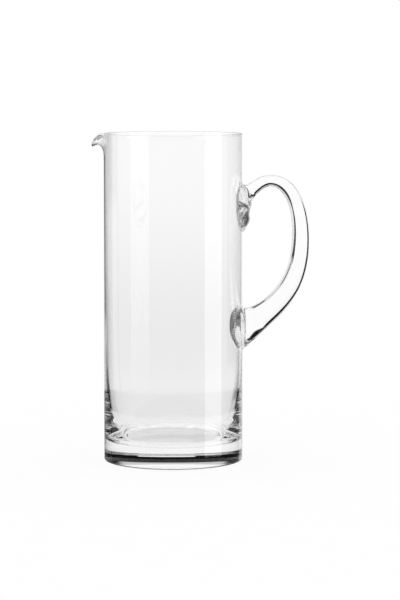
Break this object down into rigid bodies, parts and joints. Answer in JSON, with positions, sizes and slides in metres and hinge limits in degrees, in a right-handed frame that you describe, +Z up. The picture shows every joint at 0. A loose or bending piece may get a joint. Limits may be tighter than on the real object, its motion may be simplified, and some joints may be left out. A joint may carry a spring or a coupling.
{
  "type": "glass jug",
  "caption": "Tall straight-sided clear glass jug with a heavy base, a pulled pouring lip and an applied glass strap handle.",
  "frame": {"origin": "on the table under the middle of the jug's length from lip to handle", "axes": "+Z up along the vessel's axis, +X from the lip towards the handle"},
  "size_m": [0.1594, 0.102, 0.24],
  "materials": {
    "body_glass": "clear, fire-polished",
    "handle_glass": "clear, fire-polished"
  },
  "bodies": {
    "root": {"jug_body": "body_glass", "handle": "handle_glass"}
  },
  "joints": []
}
